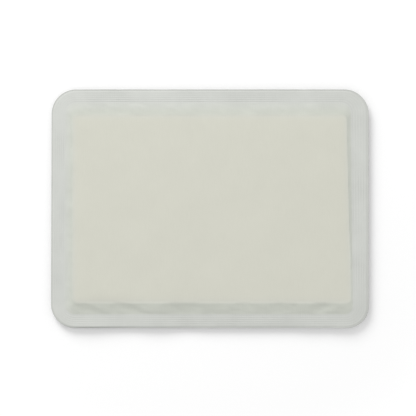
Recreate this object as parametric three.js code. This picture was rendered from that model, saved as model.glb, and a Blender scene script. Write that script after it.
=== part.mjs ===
// Super absorbent dressing: an absorbent core shut in between two nonwoven covers, which are
// welded to each other all round in a ribbed border.
//
// Millimetres, +Z up. The dressing lies on its back cover. X runs along its long side and the
// origin is in the middle of the underside.
import * as THREE from "three";

// The dressing as it is cut out of the web.
const dressingLength = 200;
const dressingWidth = 150;
const cutCornerRadius = 15;

// The two webs, and the weld that joins them. The weld presses grooves into both webs, which
// leaves ribs that run parallel to the edge. On the right the weld is wider than elsewhere.
const frontCoverThickness = 0.35;
const backCoverThickness = 0.35;
const weldWidth = 9;
const weldWiderRightFront = 1.1;
const weldWiderRightRear = 2.5;
const weldHeight = 3.2;
const weldMargin = 0.6;
const ribCount = 6;
const grooveDepth = 0.2;

// The absorbent core. Its length and width are what the slack of the covers leaves of the
// dressing. Its right-hand end is cut a little off square, so that side has two values.
const coreThickness = 4.4;
const coreCornerRadius = 2.5;
const coreEdgeRound = 0.9;
const slackLeft = 6;
const slackRear = 8;
const slackFront = 7.4;
const slackRightRear = 2.7;
const slackRightFront = 1.1;

// Between the sides of the core and the bend of the covers round them.
const coreClearance = 0.3;

// How soon the covers fall away from the core on each side. A low value is a full, bulging slope,
// and a high one drops at once and then runs out flat to the weld.
const frontCoverFall = { front: 1.1, right: 1, rear: 1.15, left: 1.5 };
const backCoverFall = { front: 1.7, right: 1.7, rear: 1.7, left: 1.7 };

// The folds that the slack of the front cover makes between core and weld. Each lies on one side,
// with its middle this far along it. Above 0 its fullness makes a ridge, and below 0 a hollow. The
// run is how far it moves along the side on its way out to the weld.
const slackFolds = [
  { side: "front", at: -72, halfWidth: 9, fullness: 0.3, run: 0 },
  { side: "front", at: -57, halfWidth: 4.5, fullness: -0.8, run: 14 },
  { side: "front", at: -36, halfWidth: 10, fullness: 0.9, run: 4 },
  { side: "front", at: 10, halfWidth: 16, fullness: -0.25, run: -6 },
  { side: "front", at: 72, halfWidth: 4, fullness: -0.6, run: -17 },
  { side: "front", at: 83, halfWidth: 4.5, fullness: 0.8, run: -17 },
  { side: "right", at: -30, halfWidth: 14, fullness: 0.3, run: 0 },
  { side: "rear", at: -58, halfWidth: 9, fullness: -0.5, run: -12 },
  { side: "rear", at: -40, halfWidth: 7, fullness: 0.4, run: -6 },
  { side: "rear", at: 22, halfWidth: 14, fullness: -0.3, run: 8 },
];

// How finely the forms are divided. The folds need points close together along the sides.
const arcDivisions = 8;
const plainSideDivisions = 6;
const foldSpacing = 3.3;
const slackDivisions = 6;
const roundDivisions = 3;
const fieldMargin = 12;

// Sizes that follow from those above. Heights are over the surface that the dressing lies on.
const coreBottom = backCoverThickness;
const coreTop = coreBottom + coreThickness;
const ribPitch = (weldWidth - 2 * weldMargin) / ribCount;
const leastRadius = 0.5;
const sideNames = ["front", "right", "rear", "left"];

// A closed outline with its corners rounded: four straight sides and four arcs, counter-clockwise
// from the front side. The corners are given in the order front left, front right, rear right,
// rear left, and the sides need not be parallel.
function roundedOutline(corners, radius) {
  const fillets = corners.map((corner, i) => {
    const before = corners[(i + 3) % 4];
    const after = corners[(i + 1) % 4];
    const inwards = corner.clone().sub(before).normalize();
    const outwards = after.clone().sub(corner).normalize();
    const turn = Math.acos(THREE.MathUtils.clamp(inwards.dot(outwards), -1, 1));
    const reach = radius * Math.tan(turn / 2);
    const start = corner.clone().addScaledVector(inwards, -reach);
    const end = corner.clone().addScaledVector(outwards, reach);
    const centre = start.clone().add(new THREE.Vector2(-inwards.y, inwards.x).multiplyScalar(radius));
    const from = Math.atan2(start.y - centre.y, start.x - centre.x);
    const arc = new THREE.EllipseCurve(centre.x, centre.y, radius, radius, from, from + turn);
    return { start, end, arc };
  });
  return fillets.flatMap((fillet, i) => {
    const next = fillets[(i + 1) % 4];
    return [new THREE.LineCurve(fillet.end, next.start), next.arc];
  });
}

// The points of an outline. Each has its place along the outline: 0 to 1 on the front side, 1 to 2
// on the front right corner, and so on to 8. Points with the same place belong together on
// outlines of different sizes.
function pointsOf(outline, sideDivisions, cornerDivisions) {
  return outline.flatMap((curve, piece) => {
    const divisions = curve.isLineCurve ? sideDivisions[piece / 2] : cornerDivisions;
    const points = curve.getPoints(divisions).slice(0, -1);
    return points.map((point, i) => ({ x: point.x, y: point.y, place: piece + i / divisions }));
  });
}

// The cut edge of the dressing.
function cutOutline() {
  const x = dressingLength / 2;
  const y = dressingWidth / 2;
  const corners = [
    new THREE.Vector2(-x, -y),
    new THREE.Vector2(x, -y),
    new THREE.Vector2(x, y),
    new THREE.Vector2(-x, y),
  ];
  return roundedOutline(corners, cutCornerRadius);
}

// The corners of the seam, which is the inner edge of the weld.
function seamCorners() {
  const x = dressingLength / 2 - weldWidth;
  const y = dressingWidth / 2 - weldWidth;
  return [
    new THREE.Vector2(-x, -y),
    new THREE.Vector2(x - weldWiderRightFront, -y),
    new THREE.Vector2(x - weldWiderRightRear, y),
    new THREE.Vector2(-x, y),
  ];
}

function seamOutline() {
  return roundedOutline(seamCorners(), Math.max(cutCornerRadius - weldWidth, leastRadius));
}

// The outline of the core, let out by a distance all round.
function coreOutline(outset) {
  const [seamFrontLeft, seamFrontRight, seamRearRight] = seamCorners();
  const left = seamFrontLeft.x + slackLeft - outset;
  const front = seamFrontLeft.y + slackFront - outset;
  const rear = seamRearRight.y - slackRear + outset;
  const corners = [
    new THREE.Vector2(left, front),
    new THREE.Vector2(seamFrontRight.x - slackRightFront + outset, front),
    new THREE.Vector2(seamRearRight.x - slackRightRear + outset, rear),
    new THREE.Vector2(left, rear),
  ];
  return roundedOutline(corners, Math.max(coreCornerRadius + outset, leastRadius));
}

// What the folds add to the fullness of the slack at a point, where out is 0 at the core and 1 at
// the weld.
function foldFullness({ x, y, place }, out) {
  const piece = Math.floor(place);
  const isCorner = piece % 2 === 1;
  if (isCorner) return 0;
  const side = sideNames[piece / 2];
  const along = side === "front" || side === "rear" ? x : y;
  return slackFolds
    .filter((fold) => fold.side === side)
    .map((fold) => fold.fullness * Math.exp(-(((along - fold.at - fold.run * out) / fold.halfWidth) ** 2)))
    .reduce((sum, fullness) => sum + fullness, 0);
}

// How a cover falls at a place along the outline. A corner leads from one side's value to the
// next one's.
function fallAt(place, fall) {
  const piece = Math.floor(place);
  const before = fall[sideNames[Math.floor(piece / 2)]];
  const after = fall[sideNames[Math.floor((piece + 1) / 2) % 4]];
  return THREE.MathUtils.lerp(before, after, place - piece);
}

// How far a cover still is from the level of the weld, as a share of its whole drop. It leaves
// the core level and never rises above it, however full it is.
function slackShape(out, fall) {
  return (1 - out) ** fall * (1 + fall * out);
}

// One closed skin through rings of points, from a ring that closes the first face to a ring that
// closes the last. Neighbouring rings may have different numbers of points: they are joined in
// the order of their places along the outline.
function skinThrough(rings, turnedOver) {
  const positions = [];
  const triangles = [];
  const starts = rings.map((ring) => {
    const start = positions.length / 3;
    for (const point of ring) positions.push(point.x, point.y, point.z);
    return start;
  });
  const add = (a, b, c) => triangles.push(...(turnedOver ? [a, c, b] : [a, b, c]));
  const placeOf = (ring, i) => (i < ring.length ? ring[i].place : ring[0].place + 8);

  for (let r = 0; r + 1 < rings.length; r += 1) {
    const [inner, outer] = [rings[r], rings[r + 1]];
    let i = 0;
    let j = 0;
    while (i < inner.length || j < outer.length) {
      const innerNext = i < inner.length ? placeOf(inner, i + 1) : Infinity;
      const outerNext = j < outer.length ? placeOf(outer, j + 1) : Infinity;
      const a = starts[r] + (i % inner.length);
      const b = starts[r + 1] + (j % outer.length);
      if (outerNext <= innerNext) {
        add(a, b, starts[r + 1] + ((j + 1) % outer.length));
        j += 1;
      } else {
        add(a, b, starts[r] + ((i + 1) % inner.length));
        i += 1;
      }
    }
  }
  closeRing(rings[0], starts[0], add);
  closeRing(rings.at(-1), starts.at(-1), (a, b, c) => add(a, c, b));

  const geometry = new THREE.BufferGeometry();
  geometry.setAttribute("position", new THREE.Float32BufferAttribute(positions, 3));
  geometry.setIndex(triangles);
  geometry.computeVertexNormals();
  return geometry;
}

// A flat face inside a ring of four points.
function closeRing(ring, start, add) {
  const contour = ring.map(({ x, y }) => new THREE.Vector2(x, y));
  const faces = THREE.ShapeUtils.triangulateShape(contour, []);
  for (const [a, b, c] of faces) add(start + a, start + b, start + c);
}

// How many stretches each side of the slack is divided into, where it has folds.
function foldedSides() {
  const outline = seamOutline();
  return sideNames.map((_, i) => Math.ceil(outline[2 * i].getLength() / foldSpacing));
}

// One cover, as a skin from the middle of its outer face, over the slack and the ribs to the cut
// edge, and back along its inner face. facing is 1 for the front cover, whose outer face is up,
// and -1 for the back cover. drop is how far its face on the core lies beyond the weld.
function coverGeometry({ facing, thickness, drop, fall, hasFolds }) {
  const plainSides = sideNames.map(() => plainSideDivisions);
  const slackSides = hasFolds ? foldedSides() : plainSides;
  const slackStart = pointsOf(coreOutline(coreClearance), slackSides, arcDivisions);
  const slackEnd = pointsOf(seamOutline(), slackSides, arcDivisions);
  const weldStart = pointsOf(seamOutline(), plainSides, arcDivisions);
  const cutEdge = pointsOf(cutOutline(), plainSides, arcDivisions);
  const heightOf = (beyondWeld) => weldHeight + facing * beyondWeld;

  const fieldRing = (above) =>
    pointsOf(coreOutline(-fieldMargin), [1, 1, 1, 1], 1)
      .filter((point) => point.place % 2 === 0)
      .map((point) => ({ ...point, z: heightOf(drop + above) }));
  const slackRing = (out, above) =>
    slackStart.map((start, i) => {
      const x = THREE.MathUtils.lerp(start.x, slackEnd[i].x, out);
      const y = THREE.MathUtils.lerp(start.y, slackEnd[i].y, out);
      const fullness = hasFolds ? foldFullness({ x, y, place: start.place }, out) : 0;
      const beyondWeld = drop * slackShape(out, fallAt(start.place, fall) * Math.exp(-fullness));
      return { x, y, z: heightOf(beyondWeld + above), place: start.place };
    });
  const weldRing = (inset, above) =>
    weldStart.map((start, i) => ({
      x: THREE.MathUtils.lerp(cutEdge[i].x, start.x, inset / weldWidth),
      y: THREE.MathUtils.lerp(cutEdge[i].y, start.y, inset / weldWidth),
      z: heightOf(above),
      place: start.place,
    }));

  const outs = Array.from({ length: slackDivisions + 1 }, (_, i) => i / slackDivisions);
  const ribs = Array.from({ length: ribCount }, (_, i) => weldWidth - weldMargin - i * ribPitch);
  return skinThrough(
    [
      fieldRing(thickness),
      ...outs.map((out) => slackRing(out, thickness)),
      ...ribs.flatMap((inset) => [
        weldRing(inset, thickness),
        weldRing(inset - ribPitch / 2, thickness - grooveDepth),
      ]),
      weldRing(weldMargin, thickness),
      weldRing(0, thickness),
      weldRing(0, 0),
      ...outs.toReversed().map((out) => slackRing(out, 0)),
      fieldRing(0),
    ],
    facing < 0,
  );
}

function frontCover() {
  const geometry = coverGeometry({
    facing: 1,
    thickness: frontCoverThickness,
    drop: coreTop - weldHeight,
    fall: frontCoverFall,
    hasFolds: true,
  });
  const material = new THREE.MeshStandardMaterial({ color: 0xd2d4ce, roughness: 0.9, metalness: 0 });
  return named("front_cover", geometry, material);
}

function backCover() {
  const geometry = coverGeometry({
    facing: -1,
    thickness: backCoverThickness,
    drop: weldHeight - backCoverThickness,
    fall: backCoverFall,
    hasFolds: false,
  });
  const material = new THREE.MeshStandardMaterial({ color: 0xcfd2cd, roughness: 0.85, metalness: 0 });
  return named("back_cover", geometry, material);
}

function absorbentCore() {
  const points = pointsOf(coreOutline(-coreEdgeRound), [1, 1, 1, 1], arcDivisions);
  const shape = new THREE.Shape(points.map(({ x, y }) => new THREE.Vector2(x, y)));
  const geometry = new THREE.ExtrudeGeometry(shape, {
    depth: coreThickness - 2 * coreEdgeRound,
    bevelThickness: coreEdgeRound,
    bevelSize: coreEdgeRound,
    bevelSegments: roundDivisions,
  });
  geometry.translate(0, 0, coreBottom + coreEdgeRound);
  const material = new THREE.MeshStandardMaterial({ color: 0xd6d6c8, roughness: 0.95, metalness: 0 });
  return named("absorbent_core", geometry, material);
}

function named(name, geometry, material) {
  const mesh = new THREE.Mesh(geometry, material);
  mesh.name = name;
  return mesh;
}

const dressing = new THREE.Group();
dressing.name = "super_absorbent_dressing";
dressing.add(backCover(), absorbentCore(), frontCover());

export default dressing;
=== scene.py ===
import math

import bpy
import numpy as np
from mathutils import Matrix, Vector


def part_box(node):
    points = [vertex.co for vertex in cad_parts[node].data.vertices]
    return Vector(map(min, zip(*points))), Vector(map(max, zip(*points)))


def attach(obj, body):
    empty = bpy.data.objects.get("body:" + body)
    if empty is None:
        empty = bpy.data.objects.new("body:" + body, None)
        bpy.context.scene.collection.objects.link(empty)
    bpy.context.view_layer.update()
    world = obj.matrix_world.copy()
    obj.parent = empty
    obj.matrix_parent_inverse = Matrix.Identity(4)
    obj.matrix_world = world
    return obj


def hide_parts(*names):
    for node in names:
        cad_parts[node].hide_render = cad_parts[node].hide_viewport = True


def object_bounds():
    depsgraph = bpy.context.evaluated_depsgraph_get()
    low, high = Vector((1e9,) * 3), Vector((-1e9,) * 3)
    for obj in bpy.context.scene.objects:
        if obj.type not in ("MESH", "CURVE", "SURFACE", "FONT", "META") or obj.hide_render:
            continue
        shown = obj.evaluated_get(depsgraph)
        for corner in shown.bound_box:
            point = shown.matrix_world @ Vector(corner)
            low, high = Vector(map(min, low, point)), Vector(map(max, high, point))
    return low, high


# A super absorbent dressing, laid on its back cover on a white table and seen from straight above:
# two nonwoven webs with a fluff core between them, welded together round the edge.

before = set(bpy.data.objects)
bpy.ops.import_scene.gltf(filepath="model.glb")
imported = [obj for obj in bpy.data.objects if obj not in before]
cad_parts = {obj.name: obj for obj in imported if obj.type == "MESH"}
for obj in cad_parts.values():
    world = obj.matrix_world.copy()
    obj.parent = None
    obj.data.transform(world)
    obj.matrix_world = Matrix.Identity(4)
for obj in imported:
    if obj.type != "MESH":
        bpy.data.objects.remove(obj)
cad_low, cad_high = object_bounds()

MM = 0.001

# The cut edge and the weld, in millimetres. The corners are the front left, front right, rear
# right and rear left one. The left side is cut a little short, and more so at its rear end.
LENGTH = (cad_high.x - cad_low.x) / MM
WIDTH = (cad_high.y - cad_low.y) / MM
CORNER_RADII = (15.1, 13.6, 15.4, 15.5)
LEFT_CUT_FRONT = 0.33
LEFT_CUT_REAR = 0.8
WELD_WIDTH = 9.0
WELD_WIDER_RIGHT_FRONT = 1.1
WELD_WIDER_RIGHT_REAR = 2.5
WELD_SHORT_REAR_LEFT = 0.7
WELD_MARGIN = 0.5

# The thickness of one web, loose and in the weld, and how it thins out at the cut edge.
WEB = 0.3
WELDED_WEB = 0.24
EDGE_ROLL_WIDTH = 0.6
EDGE_ROLL = 0.1

# The grid that the welding roller presses into both webs: ribs and grooves along the edge, and
# shallower grooves across them. A groove is as deep as the grid where the roller has pressed by 1,
# and no deeper than the deepest one where it has pressed more. The outermost rows, up to a share
# of a cell, are fused flat.
GRID_PITCH = 1.42
GRID_ROWS = 6
GRID_DEPTH = 0.12
DEEPEST_GROOVE = 1.7
CROSS_GROOVE = 0.55
FUSED_EDGE = 1.7
FUSED_ROWS = 0.4
FIRMNESS_SPREAD = 0.5
CELLS_ON_CORNER = 12
SAMPLES_IN_CELL = 3
ROWS_IN_CELL = 4

# The core under the webs. Its low and high corners come from the frame. Its soft front and right
# edges are pressed back a little by the taut web.
core_low, core_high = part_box("absorbent_core")
PRESSED_BACK = 0.4
CORE_LEFT = core_low.x / MM
CORE_FRONT = core_low.y / MM + PRESSED_BACK
CORE_RIGHT = core_high.x / MM - PRESSED_BACK
CORE_REAR = core_high.y / MM
CORE_BOTTOM = core_low.z / MM
CORE_TOP = core_high.z / MM
CORE_END_SLANT = 3.0
CORE_CORNER = 2.5
CORE_CLEARANCE = 0.3
CORE_EDGE_ROUND = 0.9
CORE_SIDE_BULGE = 0.1

# The grids of faces over the core end this far inside its edge, and rings follow them outwards.
FIELD_INSET = 3.2

# The level of the weld at its inner and outer edge, on the front, right, rear and left side.
WELD_INNER_LEVEL = (3.5, 4.1, 3.7, 3.5)
WELD_OUTER_LEVEL = (3.1, 4.3, 3.4, 3.2)

# How far the cut edge curls down over its last bit, on the same four sides, and the stretches
# where it curls more and is fused harder, with a darker edge that is partly painted shade of the
# curl: side, middle, half width, more curl and more fusing.
CURL_WIDTH = 0.8
EDGE_CURL = (0.1, 0.08, -0.08, -0.08)
CURLED_PLACES = (
    ("front", -74, 20, 0.46, 3.2),
    ("front", -30, 18, 0.12, 0.9),
)

# How the border lies where it is higher or lower than that: side, middle along the side, half
# width, lift of the inner edge and lift of the outer edge.
BORDER_LIES = (
    ("front", -78, 15, 0.1, 1.3),
    ("front", -50, 7, 0.0, -0.3),
    ("front", -34, 9, 0.4, 0.3),
    ("front", -15, 9, -0.3, -0.45),
    ("front", -36, 26, 0.0, 0.5),
    ("front", 35, 35, 0.3, 0.2),
    ("front", 63, 9, 0.1, 0.5),
    ("front", 86, 12, 0.5, 1.2),
    ("right", -45, 30, 0.5, 0.1),
    ("rear", -86, 11, 0.1, -0.4),
    ("rear", -65, 8, 0.1, 0.5),
    ("rear", -35, 8, 0.0, -0.5),
    ("rear", 40, 50, 0.05, 0.35),
    ("left", 40, 40, 0.1, -0.1),
)

# The slope of the front web from the core to the weld, on the same four sides: how much steeper
# it is just off the core than further out, how far out it bends, and how steep it still is where
# it meets the weld.
SHOULDER = (0.5, 0.2, 0.3, 0.7)
BEND = (0.3, 0.3, 0.25, 0.16)
SILL = (1.05, 1.0, 0.9, 0.3)

# Folds in the slack of the front web: side, middle along the side, half width, height (a ridge
# above 0, a hollow below) and how far the fold runs along the side on its way out.
FOLDS = (
    ("front", -88, 5, -0.14, 16),
    ("front", -77, 4.5, 0.12, 14),
    ("front", -58, 4.5, -0.2, 13),
    ("front", -48, 4, 0.14, 12),
    ("front", -34, 8, 0.2, 4),
    ("front", -14, 9, -0.12, 0),
    ("front", 14, 12, 0.08, -5),
    ("front", 58, 7, 0.12, 6),
    ("front", 73, 5, -0.24, -5),
    ("front", 84, 4, 0.14, -9),
    ("right", -30, 14, 0.1, 0),
    ("rear", -58, 9, -0.12, -12),
    ("rear", -40, 7, 0.1, -6),
    ("rear", 22, 14, -0.08, 8),
)

# Places where the pad is a little thin: middle, half length, half width and depth.
THIN_PLACES = (
    (-64, -61.5, 14, 4.8, 0.5),
    (-84, -52, 6, 6, 0.08),
    (84, -50, 6, 14, 0.06),
)

# How the slack settles as cloth. It is a small share too long, rises or sinks no more than the
# most, in millimetres, and is drawn tighter on some sides, which show a smaller share of it.
SETTLED_RINGS = 9
SETTLED_SCALE = 30
SETTLED_FRAMES = 20
SETTLED_MOST = 0.2
SETTLED_SHARE = (0.55, 0.15, 0.35, 0.35)
CLOTH_EXCESS = 0.002
CLOTH_BENDING = 10

SIDES = ("front", "right", "rear", "left")

# Colours, as linear light. The slack's colour is darker than the weld's, partly its own and partly
# painted shade of its slopes. The four sides show more or less of it, most the front and right,
# which face away from the lamp, and it fades into the weld's by a share. The core's cream shows a
# little less through the web near its edge.
SLACK_TONE_AND_SHADE = (1.0, 0.9, 1.0, 0.95)
SLACK_FADING = (0.1, 0.3, 0.65, 0.7)
WELD_COLOUR = (0.62, 0.634, 0.601)
SLACK_COLOUR_AND_SHADE = (0.577, 0.597, 0.535)
FIELD_COLOUR = (0.647, 0.647, 0.566)
CORE_COLOUR = (0.68, 0.67, 0.57)
BACK_FIELD_COLOUR = (0.62, 0.64, 0.6)
CORE_SHOWS_AT_EDGE = 0.65
CORE_SHOWS_WIDTH = 1.2
GROOVE_SHADE = -0.05


class Outline:
    """A closed outline with round corners, and points at any place along it."""

    def __init__(self, corners, radii):
        corners = [np.array(c, float) for c in corners]
        self.starts = []
        self.ends = []
        self.centres = []
        self.turns = []
        self.radii = radii
        for i, corner in enumerate(corners):
            way_in = corner - corners[i - 1]
            way_out = corners[(i + 1) % 4] - corner
            way_in /= np.linalg.norm(way_in)
            way_out /= np.linalg.norm(way_out)
            turn = math.acos(float(np.clip(way_in @ way_out, -1, 1)))
            reach = radii[i] * math.tan(turn / 2)
            start = corner - way_in * reach
            self.starts.append(start)
            self.ends.append(corner + way_out * reach)
            self.centres.append(start + np.array((-way_in[1], way_in[0])) * radii[i])
            self.turns.append(turn)

    def at(self, places):
        """Points at places from 0 to 8: a side, then the corner after it, from the front on."""
        points = np.zeros((len(places), 2))
        for piece in range(8):
            chosen = (places >= piece) & (places < piece + 1)
            along = (places[chosen] - piece)[:, None]
            before = piece // 2
            after = (before + 1) % 4
            if piece % 2 == 0:
                points[chosen] = self.ends[before] * (1 - along) + self.starts[after] * along
            else:
                spoke = self.starts[after] - self.centres[after]
                start_angle = math.atan2(spoke[1], spoke[0])
                angle = start_angle + self.turns[after] * along[:, 0]
                points[chosen, 0] = self.centres[after][0] + self.radii[after] * np.cos(angle)
                points[chosen, 1] = self.centres[after][1] + self.radii[after] * np.sin(angle)
        return points


def dressing_outline(inset=0.0):
    """The cut edge, whose left side is a little short and off square, or a line inside it."""
    x = LENGTH / 2 - inset
    y = WIDTH / 2 - inset
    radii = [r - inset for r in CORNER_RADII]
    corners = [(LEFT_CUT_FRONT - x, -y), (x, -y), (x, y), (LEFT_CUT_REAR - x, y)]
    return Outline(corners, radii)


def seam_outline():
    """The inner edge of the weld, which is wider on the right."""
    x = LENGTH / 2 - WELD_WIDTH
    y = WIDTH / 2 - WELD_WIDTH
    radii = [r - WELD_WIDTH for r in CORNER_RADII]
    right_front = (x - WELD_WIDER_RIGHT_FRONT, -y)
    right_rear = (x - WELD_WIDER_RIGHT_REAR, y)
    left_rear = (WELD_SHORT_REAR_LEFT - x, y)
    return Outline([(-x, -y), right_front, right_rear, left_rear], radii)


def core_outline(outset):
    left = CORE_LEFT - outset
    right = CORE_RIGHT + outset
    front = CORE_FRONT - outset
    rear = CORE_REAR + outset
    corners = [(left, front), (right, front), (right - CORE_END_SLANT, rear), (left, rear)]
    return Outline(corners, [max(CORE_CORNER + outset, 0.5)] * 4)


def grid_places():
    """Places along the outline, with a number of samples in every cell of the pressed grid."""
    outline = dressing_outline(WELD_WIDTH / 2)
    places = []
    for side in range(4):
        side_length = np.linalg.norm(outline.starts[(side + 1) % 4] - outline.ends[side])
        count = round(side_length / GRID_PITCH) * SAMPLES_IN_CELL
        places.append(2 * side + np.arange(count) / count)
        corner_count = CELLS_ON_CORNER * SAMPLES_IN_CELL
        places.append(2 * side + 1 + np.arange(corner_count) / corner_count)
    return np.concatenate(places)


def by_side(places, values):
    """A value that changes from one side's to the next one's round each corner."""
    piece = np.floor(places).astype(int)
    values = np.array(values)
    before = values[piece // 2]
    after = values[((piece + 1) // 2) % 4]
    return before + (after - before) * (places - piece)


def side_bumps(table, column, places, points, out=0.0):
    """The sum of a table's bumps at points along the sides. Each is strongest at its middle."""
    total = np.zeros(len(places))
    for row in table:
        side, middle, half_width = row[:3]
        run = row[4] * out
        number = SIDES.index(side)
        along = points[:, 0] if number % 2 == 0 else points[:, 1]
        off = (along - middle - run) / half_width
        side_middle = (places - 2 * number - 0.5 + 4) % 8 - 4
        near = np.clip(1.5 - np.abs(side_middle), 0, 1)
        total += row[column] * np.exp(-(off**2)) * near
    return total


def smooth_noise(points, wavelengths, seed):
    """A calm random wave over the dressing: a sum of waves with random directions and phases."""
    random = np.random.default_rng(seed)
    waves = 5
    total = np.zeros(len(points))
    for wavelength in wavelengths:
        for _ in range(waves):
            angle = random.uniform(0, 2 * math.pi)
            phase = random.uniform(0, 2 * math.pi)
            length = wavelength * random.uniform(0.8, 1.25)
            way = points @ np.array((math.cos(angle), math.sin(angle)))
            total += np.sin(2 * math.pi * way / length + phase) / math.sqrt(waves)
    return total / len(wavelengths)


def soft_step(value):
    value = np.clip(value, 0, 1)
    return value * value * (3 - 2 * value)


def slack_shape(out, shoulder, bend, sill):
    """The height that is left of a slope, from 1 at the core to 0 at the weld."""

    def dropped(reach):
        steps = np.linspace(0, reach, 25)[:, None]
        steepness = soft_step(steps / bend) * (1 + shoulder * np.exp(-((steps / 0.3) ** 2)))
        steepness = steepness * (1 - (1 - sill) * soft_step((steps - 0.5) / 0.5))
        return steepness.mean(axis=0) * reach

    return 1 - dropped(out) / dropped(1.0)


def depth_in_core(points):
    """How far points lie inside the sides of the core."""
    x = points[:, 0]
    y = points[:, 1]
    slant = (y - CORE_FRONT) / (CORE_REAR - CORE_FRONT) * CORE_END_SLANT
    sides = (x - CORE_LEFT, CORE_RIGHT - slant - x, y - CORE_FRONT, CORE_REAR - y)
    return np.clip(np.min(sides, axis=0), 0, None)


def core_puff(points):
    """The fluff's uneven thickness, and how it thins out a little towards its edge."""
    puff = 0.08 * smooth_noise(points, (60, 34), 5) + 0.012 * smooth_noise(points, (9,), 6)
    puff -= 0.13 * np.exp(-depth_in_core(points) / 2.2)
    for x, y, half_length, half_width, depth in THIN_PLACES:
        away = ((points[:, 0] - x) / half_length) ** 2 + ((points[:, 1] - y) / half_width) ** 2
        puff -= depth * np.exp(-away)
    return puff


def border_points(places, out):
    """Points of the border, from the seam, where out is 0, to the cut edge, where it is 1."""
    return seam_outline().at(places) * (1 - out) + dressing_outline().at(places) * out


def weld_level(places, points, out):
    """The level of the weld between the webs. The outer edge hangs or stands off a little."""
    inner = by_side(places, WELD_INNER_LEVEL) + side_bumps(BORDER_LIES, 3, places, points)
    outer = by_side(places, WELD_OUTER_LEVEL) + side_bumps(BORDER_LIES, 4, places, points)
    wave = 0.06 * smooth_noise(points, (38, 20), 11)
    curl = by_side(places, EDGE_CURL) + side_bumps(CURLED_PLACES, 3, places, points)
    curl = curl * max(0.0, 1 - (1 - out) * WELD_WIDTH / CURL_WIDTH) ** 2
    return inner + (outer - inner) * out**1.6 + wave * (0.3 + 0.7 * out) - curl


def pressed_grid(places, points, out):
    """How far the roller has pressed at a ring of the weld, from 0 on a rib to 1 in a groove, more
    where it was firmer. The cut edge is fused like a deep groove, more on the curled stretches,
    where its darker colour is partly painted shade of the curl."""
    inset = (1 - out) * WELD_WIDTH
    row = (inset - WELD_MARGIN) / (WELD_WIDTH - 2 * WELD_MARGIN) * GRID_ROWS
    if row < FUSED_ROWS:
        # More fusing on the curled stretches darkens the cut edge, partly as painted shade.
        return FUSED_EDGE + side_bumps(CURLED_PLACES, 4, places, points)
    if row > GRID_ROWS + 0.01:
        return np.zeros(len(places))
    along = 0.5 - 0.5 * math.cos(2 * math.pi * row)
    across = np.where(np.arange(len(places)) % SAMPLES_IN_CELL == 0, CROSS_GROOVE, 0.0)
    firmness = np.clip(0.9 + FIRMNESS_SPREAD * smooth_noise(points, (45, 21), 51), 0.3, 2.0)
    return np.maximum(along, across) * firmness


def front_field(points):
    return CORE_TOP + WEB + core_puff(points)


def drawn_slack(places, out):
    """Points of the front web between the core, where out is 0, and the weld, where it is 1, as it
    is before it settles."""
    inner = core_outline(CORE_CLEARANCE).at(places)
    outer = seam_outline().at(places)
    points = inner * (1 - out) + outer * out
    slope = [by_side(places, values) for values in (SHOULDER, BEND, SILL)]
    shape = slack_shape(out, *slope)
    top = front_field(inner)
    low = weld_level(places, outer, 0.0) + WELDED_WEB
    folds = side_bumps(FOLDS, 3, places, points, out) + 0.05 * smooth_noise(points, (11, 6), 21)
    return points, low + (top - low) * shape + folds * math.sin(math.pi * out)


def settle_slack():
    """Lets the slack of the front web settle as cloth that is a little too long for its place, and
    gives how far each point of it rises or sinks, in rings from the core to the weld. The cloth is
    simulated many times larger than it is, because the solver's own distances are coarse."""
    places = grid_places()[::SAMPLES_IN_CELL]
    rings = [drawn_slack(places, out) for out in np.linspace(0, 1, SETTLED_RINGS)]
    start = np.concatenate([np.column_stack(ring) for ring in rings]) * MM * SETTLED_SCALE
    number = np.arange(len(start)).reshape(SETTLED_RINGS, len(places))
    onward = np.roll(number, -1, axis=1)
    quads = np.stack([number[:-1], number[1:], onward[1:], onward[:-1]], axis=-1).reshape(-1, 4)
    mesh = bpy.data.meshes.new("slack_cloth")
    mesh.from_pydata(start.tolist(), [], quads.tolist())
    cloth = bpy.data.objects.new("slack_cloth", mesh)
    bpy.context.collection.objects.link(cloth)
    held = cloth.vertex_groups.new(name="held")
    held.add([int(v) for v in [*number[0], *number[-1]]], 1.0, "REPLACE")

    cloth_modifier = cloth.modifiers.new("cloth", "CLOTH")
    settings = cloth_modifier.settings
    settings.vertex_group_mass = "held"
    settings.quality = 6
    settings.mass = 0.05
    settings.tension_stiffness = 20
    settings.compression_stiffness = 20
    settings.shear_stiffness = 8
    settings.bending_stiffness = CLOTH_BENDING
    settings.air_damping = 2
    settings.shrink_min = -CLOTH_EXCESS
    settings.effector_weights.gravity = 0
    cloth_modifier.collision_settings.use_collision = False
    scene = bpy.context.scene
    for frame_number in range(1, SETTLED_FRAMES + 1):
        scene.frame_set(frame_number)
    evaluated = cloth.evaluated_get(bpy.context.evaluated_depsgraph_get())
    settled = np.empty(len(start) * 3)
    evaluated.data.vertices.foreach_get("co", settled)
    scene.frame_set(1)
    rise = (settled.reshape(-1, 3)[:, 2] - start[:, 2]) / (MM * SETTLED_SCALE)
    rise = np.clip(rise, -SETTLED_MOST, SETTLED_MOST)
    bpy.data.objects.remove(cloth)
    bpy.data.meshes.remove(mesh)
    return places, rise.reshape(SETTLED_RINGS, -1)


def front_slack(places, out):
    """Points of the front web between the core and the weld, as it has settled."""
    points, heights = drawn_slack(places, out)
    row = out * (SETTLED_RINGS - 1)
    low = min(int(row), SETTLED_RINGS - 2)
    share = soft_step(row - low)
    rise = settled_rise[low] * (1 - share) + settled_rise[low + 1] * share
    rise = (np.roll(rise, 1) + 2 * rise + np.roll(rise, -1)) / 4
    rise = np.interp(places, settled_places, rise, period=8)
    return points, heights + rise * by_side(places, SETTLED_SHARE)


def back_field(points):
    return 0.03 + 0.02 * smooth_noise(points, (45, 25), 31)


def back_slack(places, out):
    inner = core_outline(CORE_CLEARANCE).at(places)
    outer = seam_outline().at(places)
    points = inner * (1 - out) + outer * out
    low = back_field(inner)
    high = weld_level(places, outer, 0.0) - WELDED_WEB
    folds = 0.06 * smooth_noise(points, (14, 7), 33)
    return points, low + (high - low) * out**1.4 + folds * math.sin(math.pi * out)


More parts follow.
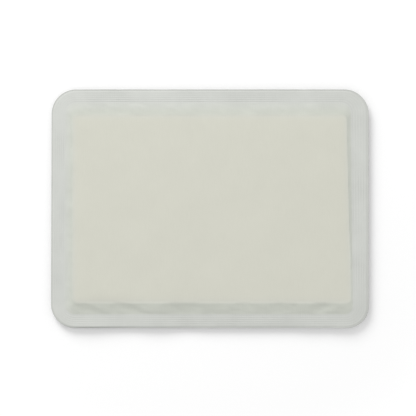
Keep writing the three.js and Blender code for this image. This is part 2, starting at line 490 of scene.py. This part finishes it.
class Skin:
    """Rings and patches of points, joined into one closed mesh."""

    def __init__(self):
        self.points = []
        self.values = []
        self.faces = []
        self.count = 0

    def add(self, points, heights, **values):
        start = self.count
        self.points.append(np.column_stack([points, heights]))
        self.values.append((len(points), values))
        self.count += len(points)
        return np.arange(start, self.count)

    def ring_pair(self, inner, outer):
        """A band of quads between two rings with the same number of points."""
        quads = np.column_stack([inner, outer, np.roll(outer, -1), np.roll(inner, -1)])
        self.faces.extend(quads.tolist())

    def ring_bridge(self, inner, inner_places, outer, outer_places):
        """A band of triangles between two rings with different numbers of points."""
        next_inner = np.append(inner_places[1:], inner_places[0] + 8)
        next_outer = np.append(outer_places[1:], outer_places[0] + 8)
        inner = inner.tolist()
        outer = outer.tolist()
        i = 0
        j = 0
        while i < len(inner) or j < len(outer):
            inner_step = next_inner[i] if i < len(inner) else math.inf
            outer_step = next_outer[j] if j < len(outer) else math.inf
            a = inner[i % len(inner)]
            b = outer[j % len(outer)]
            if outer_step <= inner_step:
                self.faces.append([a, b, outer[(j + 1) % len(outer)]])
                j += 1
            else:
                self.faces.append([a, b, inner[(i + 1) % len(inner)]])
                i += 1

    def field(self, outline, pitch, height, turned, **values):
        """A flat field of quads inside an outline. Gives the ring round it and its places."""
        corners = [(outline.ends[i] + outline.starts[i]) / 2 for i in range(4)]
        columns = round(np.linalg.norm(corners[1] - corners[0]) / pitch)
        rows = round(np.linalg.norm(corners[3] - corners[0]) / pitch)
        u, v = np.meshgrid(np.arange(columns + 1) / columns, np.arange(rows + 1) / rows)
        u = u[..., None]
        v = v[..., None]
        front = corners[0] * (1 - u) + corners[1] * u
        rear = corners[3] * (1 - u) + corners[2] * u
        points = (front * (1 - v) + rear * v).reshape(-1, 2)
        numbers = self.add(points, height(points), **values).reshape(rows + 1, columns + 1)
        quads = [numbers[:-1, :-1], numbers[:-1, 1:], numbers[1:, 1:], numbers[1:, :-1]]
        if turned:
            quads.reverse()
        self.faces.extend(np.column_stack([q.ravel() for q in quads]).tolist())
        edges = [numbers[0, :-1], numbers[:-1, -1], numbers[-1, :0:-1], numbers[:0:-1, 0]]
        places = [2 * side + np.arange(len(edge)) / len(edge) for side, edge in enumerate(edges)]
        return np.concatenate(edges), np.concatenate(places)

    def piece(self, name, turned):
        mesh = bpy.data.meshes.new(name)
        faces = [face[::-1] for face in self.faces] if turned else self.faces
        mesh.from_pydata((np.concatenate(self.points) * MM).tolist(), [], faces)
        for key in ("on_core", "slack", "pressed"):
            filled = [np.broadcast_to(values.get(key, 0.0), n) for n, values in self.values]
            attribute = mesh.attributes.new(key, "FLOAT", "POINT")
            attribute.data.foreach_set("value", np.concatenate(filled).astype(np.float32))
        mesh.validate()
        mesh.update()
        mesh.shade_smooth()
        piece = bpy.data.objects.new(name, mesh)
        bpy.context.collection.objects.link(piece)
        return piece


def web(name, face, field, slack, slack_rings, field_pitch):
    """A nonwoven web as one closed skin, fine on the face that is seen and plain on the hidden
    one. The face is 1 for the front web, which is seen from above, and -1 for the back web."""
    skin = Skin()
    places = grid_places()
    inside = core_outline(-FIELD_INSET)

    ring, ring_places = skin.field(inside, field_pitch, field, False, on_core=1.0)
    last = None
    for inset in (2.4, 1.6, 0.9, 0.4, 0.05):
        points = core_outline(-inset).at(places)
        faded = (1 - CORE_SHOWS_AT_EDGE) * math.exp(-inset / CORE_SHOWS_WIDTH)
        outer = skin.add(points, field(points), on_core=1 - faded)
        if last is None:
            skin.ring_bridge(ring, ring_places, outer, places)
        else:
            skin.ring_pair(last, outer)
        last = outer

    for out in np.linspace(0, 1, slack_rings):
        points, heights = slack(places, out)
        on_core = CORE_SHOWS_AT_EDGE * max(0.0, 1 - out * 5)
        # The slack's colour, partly painted shade, shows most on the sides that face away from the
        # lamp.
        fading = 1 - by_side(places, SLACK_FADING) * soft_step((out - 0.2) / 0.8)
        tone_and_shade = by_side(places, SLACK_TONE_AND_SHADE) * fading * (1 - on_core)
        ring = skin.add(points, heights, on_core=on_core, slack=tone_and_shade)
        skin.ring_pair(last, ring)
        last = ring

    rows = np.linspace(WELD_WIDTH - WELD_MARGIN, WELD_MARGIN, GRID_ROWS * ROWS_IN_CELL + 1)
    for inset in [*rows, 0.32, 0.16, 0.0]:
        out = 1 - inset / WELD_WIDTH
        points = border_points(places, out)
        pressed = pressed_grid(places, points, out)
        roll = EDGE_ROLL * max(0.0, 1 - inset / EDGE_ROLL_WIDTH) ** 1.5
        groove = np.clip(pressed, 0, DEEPEST_GROOVE) * max(GRID_DEPTH - roll, 0.0)
        heights = weld_level(places, points, out) + face * (WELDED_WEB - groove - roll)
        ring = skin.add(points, heights, pressed=pressed)
        skin.ring_pair(last, ring)
        last = ring

    # The hidden face, with fewer points.
    few = places[:: 2 * SAMPLES_IN_CELL]
    for out in (1.0, 0.9, 0.6, 0.3, 0.0):
        points = border_points(few, out)
        ring = skin.add(points, weld_level(few, points, out) + face * 0.01)
        if out == 1.0:
            skin.ring_bridge(last, places, ring, few)
        else:
            skin.ring_pair(last, ring)
        last = ring
    for out in (0.8, 0.6, 0.4, 0.2, 0.1, 0.0):
        points, heights = slack(few, out)
        thick = WEB + (WELDED_WEB - WEB) * out
        ring = skin.add(points, heights - face * thick, slack=1.0)
        skin.ring_pair(last, ring)
        last = ring

    def hidden_field(points):
        return field(points) - face * WEB

    ring, ring_places = skin.field(inside, 5.0, hidden_field, True, on_core=1.0)
    skin.ring_bridge(last, few, ring, ring_places)
    return skin.piece(name, face < 0)


settled_places, settled_rise = settle_slack()
front = web("front_web", 1, front_field, front_slack, 17, 1.3)
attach(front, "root")
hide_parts("front_cover")

back = web("back_web", -1, back_field, back_slack, 11, 2.0)
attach(back, "root")
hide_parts("back_cover")


def core_pad():
    """The pad of fluff, with round, slightly ragged edges."""
    skin = Skin()
    places = grid_places()[::2]
    radius = CORE_EDGE_ROUND
    inside = core_outline(-FIELD_INSET)

    def ragged(points, depth):
        return 0.05 * smooth_noise(points, (5, 3), 41) * depth

    def top(points):
        return front_field(points) - WEB - 0.03

    def bottom(points):
        return CORE_BOTTOM + 0.02 + 0.01 * smooth_noise(points, (9,), 42)

    ring, ring_places = skin.field(inside, 2.0, top, False, on_core=1.0)
    last = None
    rings = []
    for turn in np.linspace(0, 90, 6):
        angle = math.radians(turn)
        rings.append((radius * (1 - math.sin(angle)), "top", radius * (1 - math.cos(angle))))
    rings.append((-CORE_SIDE_BULGE, "middle", 0))
    for turn in np.linspace(90, 0, 6):
        angle = math.radians(turn)
        rings.append((radius * (1 - math.sin(angle)), "bottom", radius * (1 - math.cos(angle))))
    for inset, level, drop in rings:
        points = core_outline(-inset - CORE_SIDE_BULGE).at(places)
        if level == "top":
            heights = top(points) - drop
        elif level == "bottom":
            heights = bottom(points) + drop
        else:
            heights = (top(points) + bottom(points)) / 2
        heights = heights + ragged(points, drop)
        outer = skin.add(points, heights, on_core=1.0)
        if last is None:
            skin.ring_bridge(ring, ring_places, outer, places)
        else:
            skin.ring_pair(last, outer)
        last = outer
    ring, ring_places = skin.field(inside, 4.0, bottom, True, on_core=1.0)
    skin.ring_bridge(last, places, ring, ring_places)
    return skin.piece("core_pad", False)


core = core_pad()
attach(core, "root")
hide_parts("absorbent_core")


def node_group(name, inputs, outputs):
    """A node group with named sockets. Inputs are names and default values, all floats."""
    group = bpy.data.node_groups.new(name, "ShaderNodeTree")
    for label, value in inputs:
        socket = group.interface.new_socket(label, in_out="INPUT", socket_type="NodeSocketFloat")
        socket.default_value = value
    for label in outputs:
        group.interface.new_socket(label, in_out="OUTPUT", socket_type="NodeSocketFloat")
    ways = group.nodes.new("NodeGroupInput")
    result = group.nodes.new("NodeGroupOutput")
    return group, ways, result


def math_node(tree, operation, first, second=None):
    """A Math node. Its inputs are sockets or numbers."""
    node = tree.nodes.new("ShaderNodeMath")
    node.operation = operation
    for socket, value in zip(node.inputs, (first, second)):
        if isinstance(value, (int, float)):
            socket.default_value = value
        elif value is not None:
            tree.links.new(value, socket)
    return node.outputs[0]


def noise_node(tree, scale, detail, turn=0.0, stretch=1.0):
    """Noise over the object, with the scale in cycles a metre and, if stretched, along a turn."""
    place = tree.nodes.new("ShaderNodeTexCoord")
    mapping = tree.nodes.new("ShaderNodeMapping")
    mapping.inputs["Rotation"].default_value = (0, 0, math.radians(turn))
    mapping.inputs["Scale"].default_value = (scale, scale / stretch, scale / stretch)
    tree.links.new(place.outputs["Object"], mapping.inputs["Vector"])
    noise = tree.nodes.new("ShaderNodeTexNoise")
    noise.inputs["Scale"].default_value = 1.0
    noise.inputs["Detail"].default_value = detail
    tree.links.new(mapping.outputs["Vector"], noise.inputs["Vector"])
    return noise.outputs["Fac"]


def fibre_web_group():
    """The look of a nonwoven: fibres that cross at many angles, in denser and thinner clouds."""
    inputs = [("Cloud", 0.03), ("Fibres", 0.05)]
    group, ways, result = node_group("fibre_web", inputs, ["Shade", "Height"])
    cloud = noise_node(group, 90, 3)
    fibres = None
    for turn in (8, 68, 128, 97):
        strand = noise_node(group, 2600, 2, turn, 16)
        fibres = strand if fibres is None else math_node(group, "ADD", fibres, strand)
    fibres = math_node(group, "MULTIPLY", fibres, 0.25)
    off_cloud = math_node(group, "SUBTRACT", cloud, 0.5)
    cloud_part = math_node(group, "MULTIPLY", off_cloud, ways.outputs["Cloud"])
    off_fibres = math_node(group, "SUBTRACT", fibres, 0.5)
    fibre_part = math_node(group, "MULTIPLY", off_fibres, ways.outputs["Fibres"])
    shade = math_node(group, "ADD", 1.0, math_node(group, "ADD", cloud_part, fibre_part))
    group.links.new(shade, result.inputs["Shade"])
    group.links.new(fibres, result.inputs["Height"])
    return group


def colour_mix(tree, low, high, factor, blend="MIX"):
    """A colour Mix node. Colours are sockets or linear triples."""
    mix = tree.nodes.new("ShaderNodeMix")
    mix.data_type = "RGBA"
    mix.blend_type = blend
    for label, value in (("A", low), ("B", high)):
        socket = next(s for s in mix.inputs if s.name == label and s.type == "RGBA")
        if isinstance(value, tuple):
            socket.default_value = (*value, 1)
        else:
            tree.links.new(value, socket)
    factor_socket = mix.inputs[0]
    if isinstance(factor, (int, float)):
        factor_socket.default_value = factor
    else:
        tree.links.new(factor, factor_socket)
    return next(s for s in mix.outputs if s.type == "RGBA")


def attribute(tree, name):
    node = tree.nodes.new("ShaderNodeAttribute")
    node.attribute_name = name
    return node.outputs["Fac"]


def fabric_material(name, colours, roughness, fibre_depth, cloud, fibres):
    """A matt fibre material. The colours are the field's, the slack's, which is partly painted
    shade, and the weld's. The clouds are stronger off the core, and the grooves of the weld are a
    little darker."""
    material = bpy.data.materials.new(name)
    material.use_nodes = True
    tree = material.node_tree
    shader = tree.nodes["Principled BSDF"]
    shader.inputs["Roughness"].default_value = roughness
    shader.inputs["Specular IOR Level"].default_value = 0.25
    field, slack, weld = colours
    # The slack attribute mixes in the slack's colour, which is partly painted shade.
    colour = colour_mix(tree, weld, slack, attribute(tree, "slack"))
    colour = colour_mix(tree, colour, field, attribute(tree, "on_core"))
    fibre = tree.nodes.new("ShaderNodeGroup")
    fibre.node_tree = fibre_web
    off_core = math_node(tree, "SUBTRACT", 1.0, attribute(tree, "on_core"))
    clouding = math_node(tree, "MULTIPLY", off_core, 2 * cloud)
    tree.links.new(math_node(tree, "ADD", clouding, cloud), fibre.inputs["Cloud"])
    fibre.inputs["Fibres"].default_value = fibres
    # Grooves and the fused edge are darker; on the curled stretches of the edge this is partly
    # painted shade.
    groove = math_node(tree, "MULTIPLY", attribute(tree, "pressed"), GROOVE_SHADE)
    shade = math_node(tree, "ADD", fibre.outputs["Shade"], groove)
    grey = tree.nodes.new("ShaderNodeCombineColor")
    for channel in ("Red", "Green", "Blue"):
        tree.links.new(shade, grey.inputs[channel])
    colour = colour_mix(tree, colour, grey.outputs["Color"], 1.0, "MULTIPLY")
    tree.links.new(colour, shader.inputs["Base Color"])
    bump = tree.nodes.new("ShaderNodeBump")
    bump.inputs["Strength"].default_value = 1.0
    bump.inputs["Distance"].default_value = fibre_depth * MM
    tree.links.new(fibre.outputs["Height"], bump.inputs["Height"])
    tree.links.new(bump.outputs["Normal"], shader.inputs["Normal"])
    return material


fibre_web = fibre_web_group()
front_colours = (FIELD_COLOUR, SLACK_COLOUR_AND_SHADE, WELD_COLOUR)
back_colours = (BACK_FIELD_COLOUR, SLACK_COLOUR_AND_SHADE, WELD_COLOUR)
core_colours = (CORE_COLOUR, CORE_COLOUR, CORE_COLOUR)
front.data.materials.append(fabric_material("front_nonwoven", front_colours, 0.9, 0.05, 0.04, 0.1))
back.data.materials.append(fabric_material("back_nonwoven", back_colours, 0.85, 0.05, 0.05, 0.1))
core.data.materials.append(fabric_material("absorbent_fluff", core_colours, 1.0, 0.15, 0.1, 0.15))


def seen_by_eye(tree):
    """1 for rays that the camera sees, straight or in a mirror or glass, and 0 for light."""
    path = tree.nodes.new("ShaderNodeLightPath")
    seen = path.outputs["Is Camera Ray"]
    for label in ("Is Glossy Ray", "Is Transmission Ray"):
        seen = math_node(tree, "MAXIMUM", seen, path.outputs[label])
    return seen


# The table, white in the camera's eye, and still keeping the shadow round the dressing. Further
# out it is lifted to full white.
TABLE_REACH = 3.0
TABLE_COLOUR = 0.8
TABLE_LIFT = 0.22
TABLE_NEAR = 0.13
TABLE_FAR = 0.5
square = ((-1, -1), (1, -1), (1, 1), (-1, 1))
table_corners = [(x * TABLE_REACH, y * TABLE_REACH, 0) for x, y in square]
table_mesh = bpy.data.meshes.new("table")
table_mesh.from_pydata(table_corners, [], [(0, 1, 2, 3)])
table = bpy.data.objects.new("table", table_mesh)
bpy.context.collection.objects.link(table)
white = bpy.data.materials.new("white_table")
white.use_nodes = True
tree = white.node_tree
shader = tree.nodes["Principled BSDF"]
shader.inputs["Base Color"].default_value = (TABLE_COLOUR, TABLE_COLOUR, TABLE_COLOUR, 1)
shader.inputs["Roughness"].default_value = 1.0
shader.inputs["Specular IOR Level"].default_value = 0.0
shader.inputs["Emission Color"].default_value = (1, 1, 1, 1)
place = tree.nodes.new("ShaderNodeTexCoord")
away = tree.nodes.new("ShaderNodeVectorMath")
away.operation = "LENGTH"
tree.links.new(place.outputs["Object"], away.inputs[0])
lift = tree.nodes.new("ShaderNodeMapRange")
lift.interpolation_type = "SMOOTHSTEP"
lift.inputs["From Min"].default_value = TABLE_NEAR
lift.inputs["From Max"].default_value = TABLE_FAR
lift.inputs["To Min"].default_value = TABLE_LIFT
lift.inputs["To Max"].default_value = 1.0
tree.links.new(away.outputs["Value"], lift.inputs["Value"])
lifted = math_node(tree, "MULTIPLY", seen_by_eye(tree), lift.outputs["Result"])
tree.links.new(lifted, shader.inputs["Emission Strength"])
table.data.materials.append(white)

# Soft studio light: an even dome, white to the camera, and one broad round lamp behind and to the
# left, near enough to light that side of the dressing a little more.
DOME_SHARE = 0.66
LAMP_SHARE = 0.34
LAMP_PLACE = Vector((-0.79, 1.64, 1.13))
LAMP_RADIUS = 0.67

scene = bpy.context.scene
world = bpy.data.worlds.new("studio")
scene.world = world
world.use_nodes = True
tree = world.node_tree
background = tree.nodes["Background"]
background.inputs["Color"].default_value = (1, 1, 1, 1)
whitened = math_node(tree, "MULTIPLY", seen_by_eye(tree), 1 - DOME_SHARE)
tree.links.new(math_node(tree, "ADD", whitened, DOME_SHARE), background.inputs["Strength"])

lamp_data = bpy.data.lights.new("lamp", "AREA")
lamp_data.shape = "DISK"
lamp_data.size = 2 * LAMP_RADIUS
lean = LAMP_PLACE.z / LAMP_PLACE.length
lamp_data.energy = LAMP_SHARE * math.pi**2 * (LAMP_RADIUS**2 + LAMP_PLACE.length_squared) / lean
lamp = bpy.data.objects.new("lamp", lamp_data)
lamp.location = LAMP_PLACE
lamp.rotation_euler = LAMP_PLACE.to_track_quat("Z", "Y").to_euler()
lamp.visible_camera = False
bpy.context.collection.objects.link(lamp)

# The camera looks straight down.
VIEW_WIDTH = 261.6 * MM
CAMERA_HEIGHT = 1.6
camera_data = bpy.data.cameras.new("camera")
camera_data.sensor_width = 36
camera_data.lens = 36 * (CAMERA_HEIGHT - 0.003) / VIEW_WIDTH
camera = bpy.data.objects.new("camera", camera_data)
camera.location = (-0.96 * MM, 0.48 * MM, CAMERA_HEIGHT)
bpy.context.collection.objects.link(camera)
scene.camera = camera
scene.view_settings.view_transform = "Standard"
